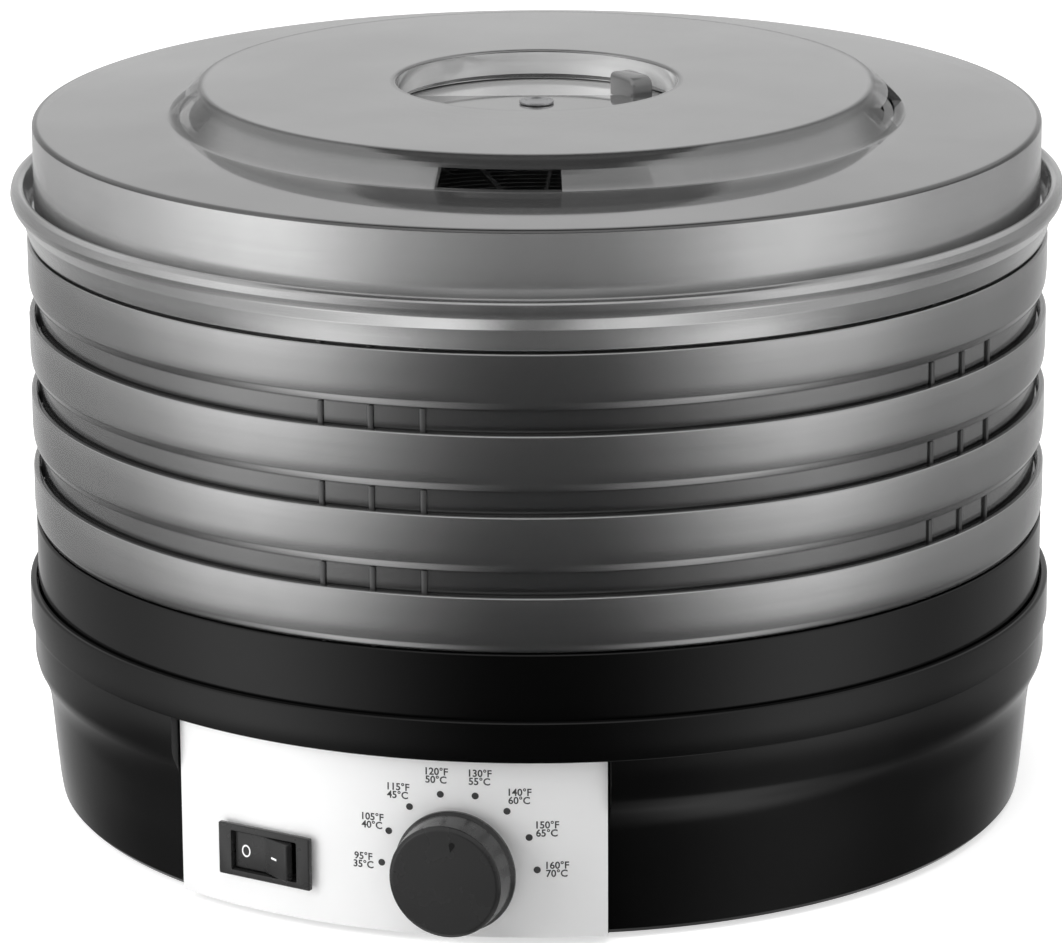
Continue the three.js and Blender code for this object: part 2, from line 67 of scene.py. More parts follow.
TRAY_COUNT = 5
COLLAR_R = high_mm("base_housing")[0]
COLLAR_TOP = high_mm("base_housing")[2]
PLATE_BOTTOM = low_mm("base_housing")[2]
PLATE_TOP = 4.2
DECK_R = high_mm("upper_deck")[0]
DECK_TOP = high_mm("upper_deck")[2]
DECK_BOTTOM = low_mm("upper_deck")[2]
BAND_R = high_mm("tray_1")[0]
FLARE_R = high_mm("tray_5")[0]
LID_BOTTOM = low_mm("lid")[2]
LID_TOP = high_mm("lid")[2]
PANEL_BOTTOM = low_mm("control_panel")[2]
PANEL_TOP = high_mm("control_panel")[2]

COLLAR_BOTTOM = 58.8
PANEL_R = 158.1
PANEL_THICKNESS = 1.2
PANEL_HALF_ANGLE = 25.25
PANEL_SEAT_R = 156.6
NECK_R = 157
RIM_INNER_R = 158
BORE_R = 155.2
BAND_HEIGHT = 17
NECK_HEIGHT = 12.2
LEDGE_HEIGHT = 12
TRAY_FLOOR = 2.3

KNOB_X = 25.2
KNOB_Z = 24.3
KNOB_BACK = 158.4
KNOB_FACE = 169.5
SWITCH_ANGLE = -13.1
SWITCH_Z = 21.3
LID_TURN = 18


# ---- mesh helpers ----

def arc(centre, radius, start, end, steps):
    """Points on an arc, angles in degrees from the +r axis."""
    points = []
    for i in range(steps + 1):
        a = math.radians(start + (end - start) * i / steps)
        points.append((centre[0] + radius * math.cos(a), centre[1] + radius * math.sin(a)))
    return points


def rounded(outline, steps=4):
    """A closed outline of (x, y) or (x, y, corner radius) points with its corners rounded."""
    result = []
    count = len(outline)
    for i, point in enumerate(outline):
        radius = point[2] if len(point) > 2 else 0
        here = Vector(point[:2])
        if radius <= 0:
            result.append(tuple(here))
            continue
        before = Vector(outline[i - 1][:2]) - here
        after = Vector(outline[(i + 1) % count][:2]) - here
        before_dir, after_dir = before.normalized(), after.normalized()
        half = before_dir.angle(after_dir) / 2
        reach = min(radius / math.tan(half), 0.49 * before.length, 0.49 * after.length)
        start, end = here + before_dir * reach, here + after_dir * reach
        for k in range(steps + 1):
            t = k / steps
            result.append(tuple((1 - t) ** 2 * start + 2 * t * (1 - t) * here + t ** 2 * end))
    return result


def placed(name, data):
    """A new object in the scene that holds the given data."""
    obj = bpy.data.objects.new(name, data)
    bpy.context.scene.collection.objects.link(obj)
    return obj


def shade(obj, smooth_angle=SMOOTH_ANGLE):
    obj.data.shade_smooth()
    obj.data.set_sharp_from_angle(angle=math.radians(smooth_angle))


def tidy(obj, smooth_angle=SMOOTH_ANGLE):
    """Merges doubles, turns the faces out and shades smooth up to the given angle."""
    bm = bmesh.new()
    bm.from_mesh(obj.data)
    bmesh.ops.remove_doubles(bm, verts=bm.verts, dist=1e-6)
    bmesh.ops.dissolve_degenerate(bm, edges=bm.edges, dist=1e-7)
    bmesh.ops.recalc_face_normals(bm, faces=bm.faces)
    bm.to_mesh(obj.data)
    bm.free()
    shade(obj, smooth_angle)


def new_object(name, verts, faces, smooth_angle=SMOOTH_ANGLE):
    """An object from points in millimetres and faces."""
    mesh = bpy.data.meshes.new(name)
    mesh.from_pydata([Vector(v) * MM for v in verts], [], faces)
    obj = placed(name, mesh)
    tidy(obj, smooth_angle)
    return obj


def direction(azimuth):
    """The (x, y) unit vector that points out along an azimuth."""
    a = math.radians(azimuth)
    return math.sin(a), -math.cos(a)


def lathe(name, outline, sides=TURN, azimuths=None, shape=None, smooth_angle=SMOOTH_ANGLE):
    """Turns a closed (r, z) outline about Z. shape(azimuth, r, z) may move a point first."""
    rings = azimuths or [360 * i / sides for i in range(sides)]
    verts = []
    for azimuth in rings:
        x, y = direction(azimuth)
        for r, z in outline:
            if shape:
                r, z = shape(azimuth, r, z)
            verts.append((r * x, r * y, z))
    count = len(outline)
    faces = []
    for i in range(len(rings)):
        j = (i + 1) % len(rings)
        for k in range(count):
            m = (k + 1) % count
            if outline[k][0] == 0 and outline[m][0] == 0:
                continue
            faces.append((i * count + k, j * count + k, j * count + m, i * count + m))
    return new_object(name, verts, faces, smooth_angle)


def prism(name, outline, low, high, smooth_angle=SMOOTH_ANGLE):
    """A closed (x, y) outline raised from low to high."""
    count = len(outline)
    verts = [(x, y, low) for x, y in outline] + [(x, y, high) for x, y in outline]
    faces = [tuple(range(count - 1, -1, -1)), tuple(range(count, 2 * count))]
    faces += [(k, (k + 1) % count, count + (k + 1) % count, count + k) for k in range(count)]
    return new_object(name, verts, faces, smooth_angle)


def sector_outline(inner, outer, start, end, corner=0.0):
    """A piece of a ring between two azimuths, with its four corners cut off."""
    steps = 10
    points = []
    for radius, first, last in ((outer, start, end), (inner, end, start)):
        inset = math.degrees(corner / radius)
        turn = 1 if last > first else -1
        painted_edge_shade = -1 if radius == outer else 1
        cut_radius = radius + painted_edge_shade * corner
        x, y = direction(first)
        points.append((cut_radius * x, cut_radius * y))
        for i in range(steps + 1):
            azimuth = first + turn * inset + (last - first - 2 * turn * inset) * i / steps
            x, y = direction(azimuth)
            points.append((radius * x, radius * y))
        x, y = direction(last)
        points.append((cut_radius * x, cut_radius * y))
    return points


def box_piece(name, size, centre, bevel=0.0, segments=3):
    """A block with all its edges rounded."""
    bm = bmesh.new()
    bmesh.ops.create_cube(bm, size=1)
    bmesh.ops.scale(bm, vec=size, verts=bm.verts)
    if bevel:
        bmesh.ops.bevel(
            bm, geom=bm.edges[:], offset=bevel, segments=segments, profile=0.5, affect="EDGES",
        )
    bmesh.ops.translate(bm, vec=centre, verts=bm.verts)
    bmesh.ops.scale(bm, vec=(MM, MM, MM), verts=bm.verts)
    mesh = bpy.data.meshes.new(name)
    bm.to_mesh(mesh)
    bm.free()
    obj = placed(name, mesh)
    tidy(obj)
    return obj


def transform(obj, matrix):
    obj.data.transform(matrix)
    obj.data.update()
    return obj


def turn_z(obj, degrees):
    return transform(obj, Matrix.Rotation(math.radians(degrees), 4, "Z"))


def shift(obj, x, y, z):
    return transform(obj, Matrix.Translation(Vector((x, y, z)) * MM))


def merge(name, pieces):
    """Several meshes as one object."""
    bm = bmesh.new()
    for piece in pieces:
        bm.from_mesh(piece.data)
    mesh = bpy.data.meshes.new(name)
    bm.to_mesh(mesh)
    bm.free()
    for piece in pieces:
        bpy.data.objects.remove(piece)
    obj = placed(name, mesh)
    shade(obj)
    return obj


def apply_modifier(obj, modifier):
    with bpy.context.temp_override(object=obj, active_object=obj):
        bpy.ops.object.modifier_apply(modifier=modifier.name)


def round_edges(obj, width, segments, least_angle=30):
    """Bevels the edges of obj that turn by more than the given angle."""
    modifier = obj.modifiers.new("edge", "BEVEL")
    modifier.width = width * MM
    modifier.segments = segments
    modifier.limit_method = "ANGLE"
    modifier.angle_limit = math.radians(least_angle)
    apply_modifier(obj, modifier)


def carve(obj, cutters, operation="DIFFERENCE"):
    """Cuts closed pieces out of obj, or joins them to it, and deletes them."""
    for cutter in cutters:
        modifier = obj.modifiers.new(cutter.name, "BOOLEAN")
        modifier.operation = operation
        modifier.solver = "EXACT"
        modifier.object = cutter
        apply_modifier(obj, modifier)
        bpy.data.objects.remove(cutter)
    tidy(obj)
    return obj


def done(obj, body, slot, material, *nodes):
    """Gives a piece its body and material, and hides the CAD nodes that it stands for. The slot argument
    is not used.
    """
    obj.data.materials.clear()
    obj.data.materials.append(material)
    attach(obj, body)
    if nodes:
        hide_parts(*nodes)
    return obj


def second_material(obj, material, chosen):
    """Gives the faces that chosen(radius, height) picks a material of their own."""
    obj.data.materials.append(material)
    for face in obj.data.polygons:
        x, y, z = face.center / MM
        if chosen(math.hypot(x, y), z):
            face.material_index = len(obj.data.materials) - 1


# ---- materials ----

RAMP_RADIUS = 200  # mm; a ramp by radius runs from the axis to here


class Shader:
    """A small wrapper that keeps a material's node building readable."""

    def __init__(self, name, color, roughness, metallic=0.0):
        self.material = bpy.data.materials.new(name)
        self.material.use_nodes = True
        self.tree = self.material.node_tree
        self.surface = self.tree.nodes["Principled BSDF"]
        self.set("Base Color", (*color, 1))
        self.set("Roughness", roughness)
        self.set("Metallic", metallic)
        self.coordinates = self.node("ShaderNodeTexCoord").outputs["Object"]

    def node(self, kind, **values):
        node = self.tree.nodes.new(kind)
        for key, value in values.items():
            setattr(node, key, value)
        return node

    def set(self, socket, value):
        self.surface.inputs[socket].default_value = value

    def link(self, a, b):
        self.tree.links.new(a, b)

    def stretched(self, scale):
        mapping = self.node("ShaderNodeMapping")
        mapping.inputs["Scale"].default_value = scale
        self.link(self.coordinates, mapping.inputs["Vector"])
        return mapping.outputs["Vector"]

    def noise(self, scale, detail=3.0, roughness=0.5, vector=None):
        node = self.node("ShaderNodeTexNoise")
        node.inputs["Scale"].default_value = scale
        node.inputs["Detail"].default_value = detail
        node.inputs["Roughness"].default_value = roughness
        self.link(vector or self.coordinates, node.inputs["Vector"])
        return node.outputs["Fac"]

    def mapped(self, source, low, high, from_low=0.3, from_high=0.7):
        node = self.node("ShaderNodeMapRange")
        for socket, value in zip(
            ("From Min", "From Max", "To Min", "To Max"), (from_low, from_high, low, high)
        ):
            node.inputs[socket].default_value = value
        self.link(source, node.inputs["Value"])
        return node.outputs["Result"]

    def colour_between(self, source, first, second):
        node = self.node("ShaderNodeMix", data_type="RGBA")
        node.inputs["A"].default_value = (*first, 1)
        node.inputs["B"].default_value = (*second, 1)
        self.link(source, node.inputs["Factor"])
        self.link(node.outputs["Result"], self.surface.inputs["Base Color"])

    def calculated(self, operation, first, second=None):
        node = self.node("ShaderNodeMath", operation=operation)
        for socket, value in zip(node.inputs, (first, second)):
            if isinstance(value, (int, float)):
                socket.default_value = value
            elif value is not None:
                self.link(value, socket)
        return node.outputs[0]

    def radius(self):
        """Distance from the axis, as a share of RAMP_RADIUS."""
        scale = 1 / (RAMP_RADIUS * MM)
        flat = self.node("ShaderNodeVectorMath", operation="MULTIPLY")
        flat.inputs[1].default_value = (scale, scale, 0)
        self.link(self.coordinates, flat.inputs[0])
        length = self.node("ShaderNodeVectorMath", operation="LENGTH")
        self.link(flat.outputs["Vector"], length.inputs[0])
        return length.outputs["Value"]

    def multiplied(self, first, second):
        return self.calculated("MULTIPLY", first, second)

    def profile(self, source, stops):
        """A grey ramp through (place, tone) stops; tones may pass 1."""
        brightest = max(tone for _, tone in stops)
        ramp = self.node("ShaderNodeValToRGB")
        elements = ramp.color_ramp.elements
        for i, (place, tone) in enumerate(stops):
            element = elements[i] if i < 2 else elements.new(place)
            element.position = place
            element.color = (*(tone / brightest,) * 3, 1)
        self.link(source, ramp.inputs["Fac"])
        return self.multiplied(ramp.outputs["Color"], brightest)

    def grey_from(self, source):
        node = self.node("ShaderNodeCombineColor")
        for socket in ("Red", "Green", "Blue"):
            self.link(source, node.inputs[socket])
        self.link(node.outputs["Color"], self.surface.inputs["Base Color"])

    def roughness_from(self, source, low, high):
        self.link(self.mapped(source, low, high), self.surface.inputs["Roughness"])

    def bump(self, source, distance, strength):
        node = self.node("ShaderNodeBump")
        node.inputs["Distance"].default_value = distance
        node.inputs["Strength"].default_value = strength
        self.link(source, node.inputs["Height"])
        self.link(node.outputs["Normal"], self.surface.inputs["Normal"])


def gloss_black():
    s = Shader("gloss_black_plastic", (0.0015, 0.0015, 0.0015), 0.12)
    s.set("IOR", 1.46)
    s.colour_between(s.noise(18), (0.001, 0.001, 0.001), (0.002, 0.002, 0.002))
    s.roughness_from(s.noise(55, 4), 0.09, 0.17)
    s.bump(s.noise(9, 1), 0.0004, 0.25)
    return s.material


def satin_black(name="satin_black_plastic", base=0.012, low=0.34, high=0.5, grain=0.00004):
    s = Shader(name, (base, base, base), 0.4)
    s.colour_between(s.noise(30), (base * 0.8,) * 3, (base * 1.35,) * 3)
    s.roughness_from(s.noise(120, 3), low, high)
    s.bump(s.noise(1500, 2), grain, 0.6)
    return s.material


def silver_panel():
    s = Shader("satin_silver_panel", (0.97, 0.97, 0.97), 0.42, 0.5)
    s.colour_between(s.noise(12), (0.94, 0.94, 0.94), (0.99, 0.99, 0.99))
    fine = s.noise(900, 3, vector=s.stretched((0.12, 0.12, 4)))
    s.roughness_from(fine, 0.36, 0.5)
    s.bump(fine, 0.000015, 0.5)
    return s.material


TRAY_PITCH = 24.5
FIRST_BAND_Z = 91.8


def smoke_plastic(name, tint, metallic, alpha, low, high, tones=None, rings=None):
    """Smoke-grey plastic with roughness from low to high.

    Its tone changes by height on a tray, through tones, partly with the thickness of the wall and partly
    as painted shade in the gaps between trays, and by radius on the lid, through rings, which hold
    (radius, tone, opacity); the dark rings are painted shade on the lid's rounded edges.
    """
    s = Shader(name, (tint, tint, tint), 0.18, metallic)
    s.set("IOR", 1.49)
    s.set("Alpha", alpha)
    s.set("Coat Weight", 0.5)
    s.set("Coat Roughness", 0.05)
    cloud = s.mapped(s.noise(22), 0.93, 1.07)
    streaks = s.mapped(s.noise(90, 3, vector=s.stretched((0.2, 0.2, 6))), 0.98, 1.02)
    tone = s.multiplied(cloud, streaks)
    if tones:
        split = s.node("ShaderNodeSeparateXYZ")
        s.link(s.coordinates, split.inputs[0])
        height = s.calculated("SUBTRACT", split.outputs["Z"], FIRST_BAND_Z * MM)
        share = s.calculated("FRACT", s.calculated("DIVIDE", height, TRAY_PITCH * MM))
        # painted shade: the tray tones darken the neck and draw dark lines in the gaps between trays
        tone = s.multiplied(tone, s.profile(share, tones))
    if rings:
        radius = s.radius()
        # painted shade: dark rings on the lid's rounded edges
        painted_edge_shade = s.profile(radius, [(r / RAMP_RADIUS, ring_tone) for r, ring_tone, _ in rings])
        tone = s.multiplied(tone, painted_edge_shade)
        opacity = s.profile(radius, [(r / RAMP_RADIUS, ring_opacity) for r, _, ring_opacity in rings])
        s.link(opacity, s.surface.inputs["Alpha"])
    s.grey_from(s.multiplied(tone, tint))
    s.roughness_from(s.noise(70, 3), low, high)
    s.bump(s.noise(8, 1), 0.0005, 0.3)
    return s.material


# (height as a share of the tray pitch, tone), from the bottom of one band to the bottom of the next.
# The light band top and the darker neck follow the double and single wall, and the darker neck is partly
# painted shade;
# the dark stripe just above each band's top and the dark lines where a band meets the neck under it are
# painted shadow.
TRAY_TONES = (
    (0.0, 0.5), (0.03, 0.7), (0.07, 0.88), (0.12, 0.93), (0.45, 1.0), (0.6, 1.12), (0.692, 1.2),
    (0.696, 0.3), (0.735, 0.32), (0.775, 0.62), (0.8, 0.74), (0.96, 0.78), (0.985, 0.46), (1.0, 0.38),
)
# The top tray's tones are painted light: they raise the tone of the outside of the flared lip to stand
# in for the reflection on it, over a dimmer neck.
TOP_TRAY_LIT_TONES = (
    (0.0, 1.45), (0.17, 1.4), (0.22, 1.0), (0.6, 0.95), (0.69, 1.1), (0.78, 1.3), (0.86, 1.45),
    (1.0, 1.45),
)

# (radius in mm, tone, opacity): the dark rings at the recess's edge, the platform's edge and the
# shoulder are painted shade, dark lines that stand in for the dark reflection on these rounded edges;
# the slope is thin, so clear
LID_RINGS = (
    (0, 1, 0.93), (43.7, 1, 0.93), (44.0, 0.45, 0.93), (45.0, 0.45, 0.93), (45.6, 1, 0.93),
    (103.8, 1, 0.93), (104.2, 0.3, 0.93), (105.5, 0.3, 0.6), (106.1, 1, 0.42), (113.8, 1, 0.42),
    (115.4, 1, 0.93), (155.5, 1, 0.93), (156.0, 0.3, 0.93), (158, 0.3, 0.93),
)


def printed_ink():
    s = Shader("printed_ink", (0.03, 0.03, 0.03), 0.5)
    s.colour_between(s.noise(400), (0.02, 0.02, 0.02), (0.05, 0.05, 0.05))
    return s.material


def white_ink():
    s = Shader("white_ink", (0.75, 0.75, 0.75), 0.45)
    s.colour_between(s.noise(400), (0.68, 0.68, 0.68), (0.8, 0.8, 0.8))
    return s.material


def metal(name, colour, low, high):
    s = Shader(name, colour, 0.35, 1.0)
    grain = s.noise(300, 4, vector=s.stretched((1, 1, 6)))
    s.colour_between(grain, tuple(c * 0.85 for c in colour), tuple(min(1, c * 1.1) for c in colour))
    s.roughness_from(grain, low, high)
    s.bump(grain, 0.00002, 0.4)
    return s.material


def rubber():
    s = Shader("moulded_rubber", (0.02, 0.02, 0.02), 0.8)
    s.colour_between(s.noise(60), (0.016, 0.016, 0.016), (0.03, 0.03, 0.03))
    s.roughness_from(s.noise(200), 0.7, 0.9)
    s.bump(s.noise(1200), 0.00005, 0.6)
    return s.material


def mica_sheet():
    s = Shader("mica_sheet", (0.55, 0.47, 0.34), 0.5)
    flakes = s.noise(90, 6, 0.7)
    s.colour_between(flakes, (0.42, 0.34, 0.22), (0.66, 0.58, 0.44))
    s.roughness_from(flakes, 0.3, 0.65)
    s.bump(flakes, 0.0001, 0.5)
    return s.material


GLOSS_BLACK = gloss_black()
SATIN_BLACK = satin_black()
KNOB_BLACK = satin_black("knob_black_plastic", 0.014, 0.2, 0.3, 0.00002)
SWITCH_BLACK = satin_black("switch_black_plastic", 0.02, 0.22, 0.34, 0.00002)
SILVER = silver_panel()
SMOKE = smoke_plastic("smoke_plastic", 0.46, 0.94, 0.93, 0.145, 0.185, TRAY_TONES)
# painted light: a lighter copy of the tray plastic for the top tray
LIT_TOP_SMOKE = smoke_plastic("lit_top_tray_plastic", 0.63, 0.93, 0.92, 0.17, 0.22, TOP_TRAY_LIT_TONES)
LID_SMOKE = smoke_plastic("lid_smoke_plastic", 0.52, 0.88, 0.93, 0.04, 0.07, None, LID_RINGS)
# painted light: a lighter copy of the lid plastic for the lid's skirt, standing in for light that comes
# through it from behind
LIT_SKIRT_SMOKE = smoke_plastic("lit_lid_skirt_plastic", 0.67, 0.82, 0.93, 0.2, 0.25)
DIAL_SMOKE = smoke_plastic("dial_smoke_plastic", 0.62, 0.86, 0.97, 0.06, 0.1)
# painted shade: a dark copy of the tray plastic for the neck ribs, which sit in the shade under the
# bands
SHADED_RIB_SMOKE = smoke_plastic("shaded_rib_smoke_plastic", 0.09, 0.6, 1.0, 0.3, 0.4)
# painted light: an opaque, lighter copy of the smoke plastic that makes the lid's recess wall and the
# dial's floor look lit
LIT_RECESS_SMOKE = smoke_plastic("lit_recess_smoke_plastic", 0.66, 0.35, 1.0, 0.06, 0.1)
TAB_SMOKE = smoke_plastic("tab_smoke_plastic", 0.2, 0.4, 1.0, 0.12, 0.2)
INK = printed_ink()
WHITE_INK = white_ink()
STEEL = metal("zinc_plated_steel", (0.62, 0.62, 0.63), 0.25, 0.4)
SHEET = metal("pressed_sheet_steel", (0.5, 0.5, 0.51), 0.35, 0.55)
HOT_WIRE = metal("oxidised_element", (0.3, 0.28, 0.26), 0.45, 0.65)
RUBBER = rubber()
MICA = mica_sheet()


# ---- camera ----

CAMERA_AZIMUTH = 18  # degrees
CAMERA_DISTANCE = 1.704  # m, level with the floor
CAMERA_HEIGHT = 0.598  # m
CAMERA_PITCH = 0.28396  # radians
CAMERA_ROLL = -0.00496  # radians
CAMERA_LENS = 188.8
CAMERA_SHIFT = -0.00703

camera = placed("camera", bpy.data.cameras.new("camera"))
camera.data.sensor_width = 36
camera.data.lens = CAMERA_LENS
camera.data.shift_x = CAMERA_SHIFT
side, back = direction(CAMERA_AZIMUTH)
camera.location = (CAMERA_DISTANCE * side, CAMERA_DISTANCE * back, CAMERA_HEIGHT)
heading = Matrix.Rotation(math.radians(CAMERA_AZIMUTH), 4, "Z")
tilt = Matrix.Rotation(math.pi / 2 - CAMERA_PITCH, 4, "X")
roll = Matrix.Rotation(CAMERA_ROLL, 4, "Z")
camera.rotation_euler = (heading @ tilt @ roll).to_euler()
bpy.context.scene.camera = camera


# ---- base housing, deck and what is under them ----

BODY_EDGE = PANEL_HALF_ANGLE + 0.2  # azimuth at which the drum steps back


def base_shell():
    """The drum and its collar. In front it steps back to the panel's seat."""
    outline = rounded([
        (150.3, PLATE_BOTTOM), (152.6, PLATE_BOTTOM), (153.8, 3.2), (154.5, 8), (155.6, 20), (156.4, 30),
        (157.0, 35), (157.8, 38.6), (159.2, 42.2), (160.6, 45), (161.2, 47.6), (161.2, COLLAR_BOTTOM),
        (COLLAR_R, COLLAR_BOTTOM, 0.5), (COLLAR_R, COLLAR_TOP, 1.1), (DECK_R + 0.5, COLLAR_TOP, 0.4),
        (DECK_R + 0.5, 64), (153.4, 64), (153.4, 44), (151.6, 8), (150.3, 6),
    ])
    wall_inner, wall_outer = 153.5, 161.3

    def stepped(azimuth, r, z):
        centred = (azimuth + 180) % 360 - 180
        in_window = abs(centred) < BODY_EDGE and PANEL_BOTTOM - 0.25 < z <= COLLAR_BOTTOM + 0.01
        if in_window and wall_inner < r < wall_outer:
            return PANEL_SEAT_R, z
        return r, z

    edges = [BODY_EDGE - 0.01, BODY_EDGE + 0.01]
    azimuths = sorted([360 * i / TURN for i in range(TURN)] + edges + [360 - edge for edge in edges])
    return lathe("base_shell", outline, azimuths=azimuths, shape=stepped)


done(base_shell(), "base", "black_gloss", GLOSS_BLACK, "base_housing")


def deck_shell():
    """The neck with its ledge, and the floor under the lowest tray with its radial ribs."""
    outline = rounded([
        (DECK_R, DECK_BOTTOM), (DECK_R, DECK_TOP, 0.8), (RIM_INNER_R, DECK_TOP, 0.6),
        (RIM_INNER_R, 79.3, 0.5), (154.8, 79.3, 0.6), (152.6, 68, 2), (138, 68, 0.3), (137, 69, 0.3),
        (134, 69, 0.3), (133, 68, 0.3), (62, 68, 0.5), (61, 69.4, 0.4), (57.5, 69.4, 0.4),
        (56.5, 68, 0.5), (50, 68, 0.4), (50, 65.8), (154.6, 65.8), (157.3, DECK_BOTTOM),
    ])
    ring = lathe("deck_shell", outline)
    ribs = []
    for i in range(24):
        rib = box_piece(f"deck_rib_{i}", (1.6, 66, 1.3), (0, -98, 68.4), 0.35, 2)
        ribs.append(turn_z(rib, 15 * i))
    return merge("deck_shell", [ring, *ribs])


done(deck_shell(), "base", "black_gloss", GLOSS_BLACK, "upper_deck")


def outlet_grille():
    """Round grille of rings and spokes over the fan."""
    rim = lathe("grille_rim", rounded([
        (47.6, 66.4), (49.5, 66.4), (49.5, 68.3), (54, 68.3), (54, 70.2, 0.8), (50, 71.2, 0.8),
        (47.6, 70.4, 0.4),
    ]), sides=96)
    rings = []
    for i in range(7):
        r = 10 + 6 * i
        crown = 72.2 - 1.6 * (r / 54) ** 2
        rings.append(lathe(f"grille_ring_{i}", rounded([
            (r - 0.9, crown - 2.4), (r + 0.9, crown - 2.4), (r + 0.9, crown, 0.5), (r - 0.9, crown, 0.5),
        ]), sides=96))
    hub = lathe("grille_hub", rounded([(0, 69.4), (7, 69.4), (7, 72.2, 1), (0, 72.4)]), sides=48)
    spokes = []
    for i in range(12):
        spoke = box_piece(f"grille_spoke_{i}", (2, 43, 1.6), (0, -27, 70.6), 0.4, 2)
        spokes.append(turn_z(spoke, 30 * i))
    return merge("outlet_grille", [rim, *rings, hub, *spokes])


done(outlet_grille(), "base", "black_matt", SATIN_BLACK, "air_grille")


def under_plate():
    """Bottom plate with two rings of air intakes, and the three posts of the motor bracket."""
    disc = lathe("under_plate", rounded([
        (0, PLATE_BOTTOM), (149.9, PLATE_BOTTOM, 0.5), (149.9, PLATE_TOP), (0, PLATE_TOP),
    ]), sides=TURN)
    cutters = []
    for ring, (inner, outer) in enumerate(((16, 34), (38, 56))):
        for i in range(12):
            outline = sector_outline(inner, outer, 30 * i + 5, 30 * i + 25, 2.5)
            cutters.append(prism(f"intake_{ring}_{i}", outline, 0, 10))
    disc = carve(disc, [merge("intakes", cutters)])
    posts = []
    for i in range(3):
        post = lathe(f"bracket_post_{i}", rounded([
            (1.9, 20), (1.9, 33.7), (5, 33.7, 0.5), (5, PLATE_TOP - 0.4), (0, PLATE_TOP - 0.4), (0, 20),
        ]), sides=32)
        post = shift(post, 0, -66, 0)
        posts.append(turn_z(post, 120 * i))
    return merge("under_plate", [disc, *posts])


done(under_plate(), "base", "black_matt", SATIN_BLACK, "bottom_plate")

for number in range(4):
    foot = lathe(f"rubber_foot_{number + 1}", rounded([
        (0, 0), (8, 0, 0.6), (9, 0.8, 0.4), (9, 1.5), (3, 1.5), (3, 5.4), (2.4, 6.2), (0, 6.2),
    ]), sides=48)
    low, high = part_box(f"foot_{number + 1}")
    middle = (low + high) / 2 / MM
    shift(foot, middle[0], middle[1], 0)
    done(foot, "base", "rubber", RUBBER, f"foot_{number + 1}")


def cord_gland():
    gland_z = 20
    ring = lathe("gland_ring", rounded([
        (3.2, 0), (6.4, 0, 1.2), (8, 1.6, 0.8), (8, 3.4), (5, 3.4), (5, 14), (3.2, 14),
    ]), sides=64)
    transform(ring, Matrix.Rotation(math.radians(90), 4, "X"))
    return shift(ring, 0, high_mm("cord_gland")[1], gland_z)


done(cord_gland(), "base", "rubber", RUBBER, "cord_gland")


# ---- control panel and its print ----

def panel_plate():
    """Thin curved plate, with an opening behind the switch."""
    inner = PANEL_R - PANEL_THICKNESS
    steps = 72
    verts, faces = [], []
    edge = 0.25
    section = rounded([
        (inner, PANEL_BOTTOM), (PANEL_R, PANEL_BOTTOM, edge), (PANEL_R, PANEL_TOP, edge),
        (inner, PANEL_TOP),
    ])
    for i in range(steps + 1):
        azimuth = -PANEL_HALF_ANGLE + 2 * PANEL_HALF_ANGLE * i / steps
        x, y = direction(azimuth)
        verts += [(r * x, r * y, z) for r, z in section]
    count = len(section)
    for i in range(steps):
        for k in range(count):
            m = (k + 1) % count
            faces.append((i * count + k, (i + 1) * count + k, (i + 1) * count + m, i * count + m))
    faces.append(tuple(range(count)))
    faces.append(tuple(range(steps * count, (steps + 1) * count)))
    plate = new_object("panel_plate", verts, faces)
    hole = box_piece("switch_hole", (26.6, 20, 13.4), (0, -PANEL_R, SWITCH_Z))
    return carve(plate, [turn_z(hole, SWITCH_ANGLE)])


done(panel_plate(), "base", "panel_silver", SILVER, "control_panel")

SCALE_STEPS = (  # (Fahrenheit, Celsius)
    (95, 35), (105, 40), (115, 45), (120, 50), (130, 55), (140, 60), (150, 65), (160, 70),
)
DOT_RING = 23.4
DOT_R = 1.05
LABEL_RING = 29.2
LABEL_SIZE = 3.1
PRINT_HEIGHT = 0.05
PRINT_LIFT = 0.02
PRINT_SWELL = 0.06


def on_panel(obj, centre_arc, centre_z):
    """Wraps a flat piece, drawn in its own x and y, round the panel's face."""
    for vertex in obj.data.vertices:
        u = centre_arc + vertex.co.x / MM
        r = PANEL_R + PRINT_LIFT + vertex.co.z / MM
        x, y = direction(math.degrees(u / PANEL_R))
        vertex.co = Vector((r * x, r * y, centre_z + vertex.co.y / MM)) * MM
    obj.data.update()
    return obj


def text_piece(name, words):
    """Two centred lines of print as a flat mesh."""
    curve = bpy.data.curves.new(name, "FONT")
    curve.body = words
    curve.size = LABEL_SIZE * MM
    curve.align_x = "CENTER"
    curve.align_y = "CENTER"
    curve.space_line = 0.82
    curve.extrude = PRINT_HEIGHT * MM / 2
    curve.resolution_u = 3
    curve.offset = PRINT_SWELL * MM
    holder = placed(name, curve)
    evaluated = holder.evaluated_get(bpy.context.evaluated_depsgraph_get())
    mesh = bpy.data.meshes.new_from_object(evaluated)
    bpy.data.objects.remove(holder)
    return placed(name, mesh)


def panel_print():
    """Dots and temperatures on half a circle round the knob."""
    marks = []
    centre_arc = PANEL_R * math.asin(KNOB_X / PANEL_R)
    last = len(SCALE_STEPS) - 1
    for i, (fahrenheit, celsius) in enumerate(SCALE_STEPS):
        angle = math.radians(180 - 180 * i / last)
        across, up = math.cos(angle), math.sin(angle)
        dot = prism(f"scale_dot_{i}", arc((0, 0), DOT_R, 0, 345, 23), 0, PRINT_HEIGHT)
        marks.append(on_panel(dot, centre_arc + DOT_RING * across, KNOB_Z + DOT_RING * up))
        label = text_piece(f"scale_label_{i}", f"{fahrenheit}°F\n{celsius}°C")
        marks.append(on_panel(label, centre_arc + LABEL_RING * across, KNOB_Z + LABEL_RING * up))
    return merge("panel_print", marks)


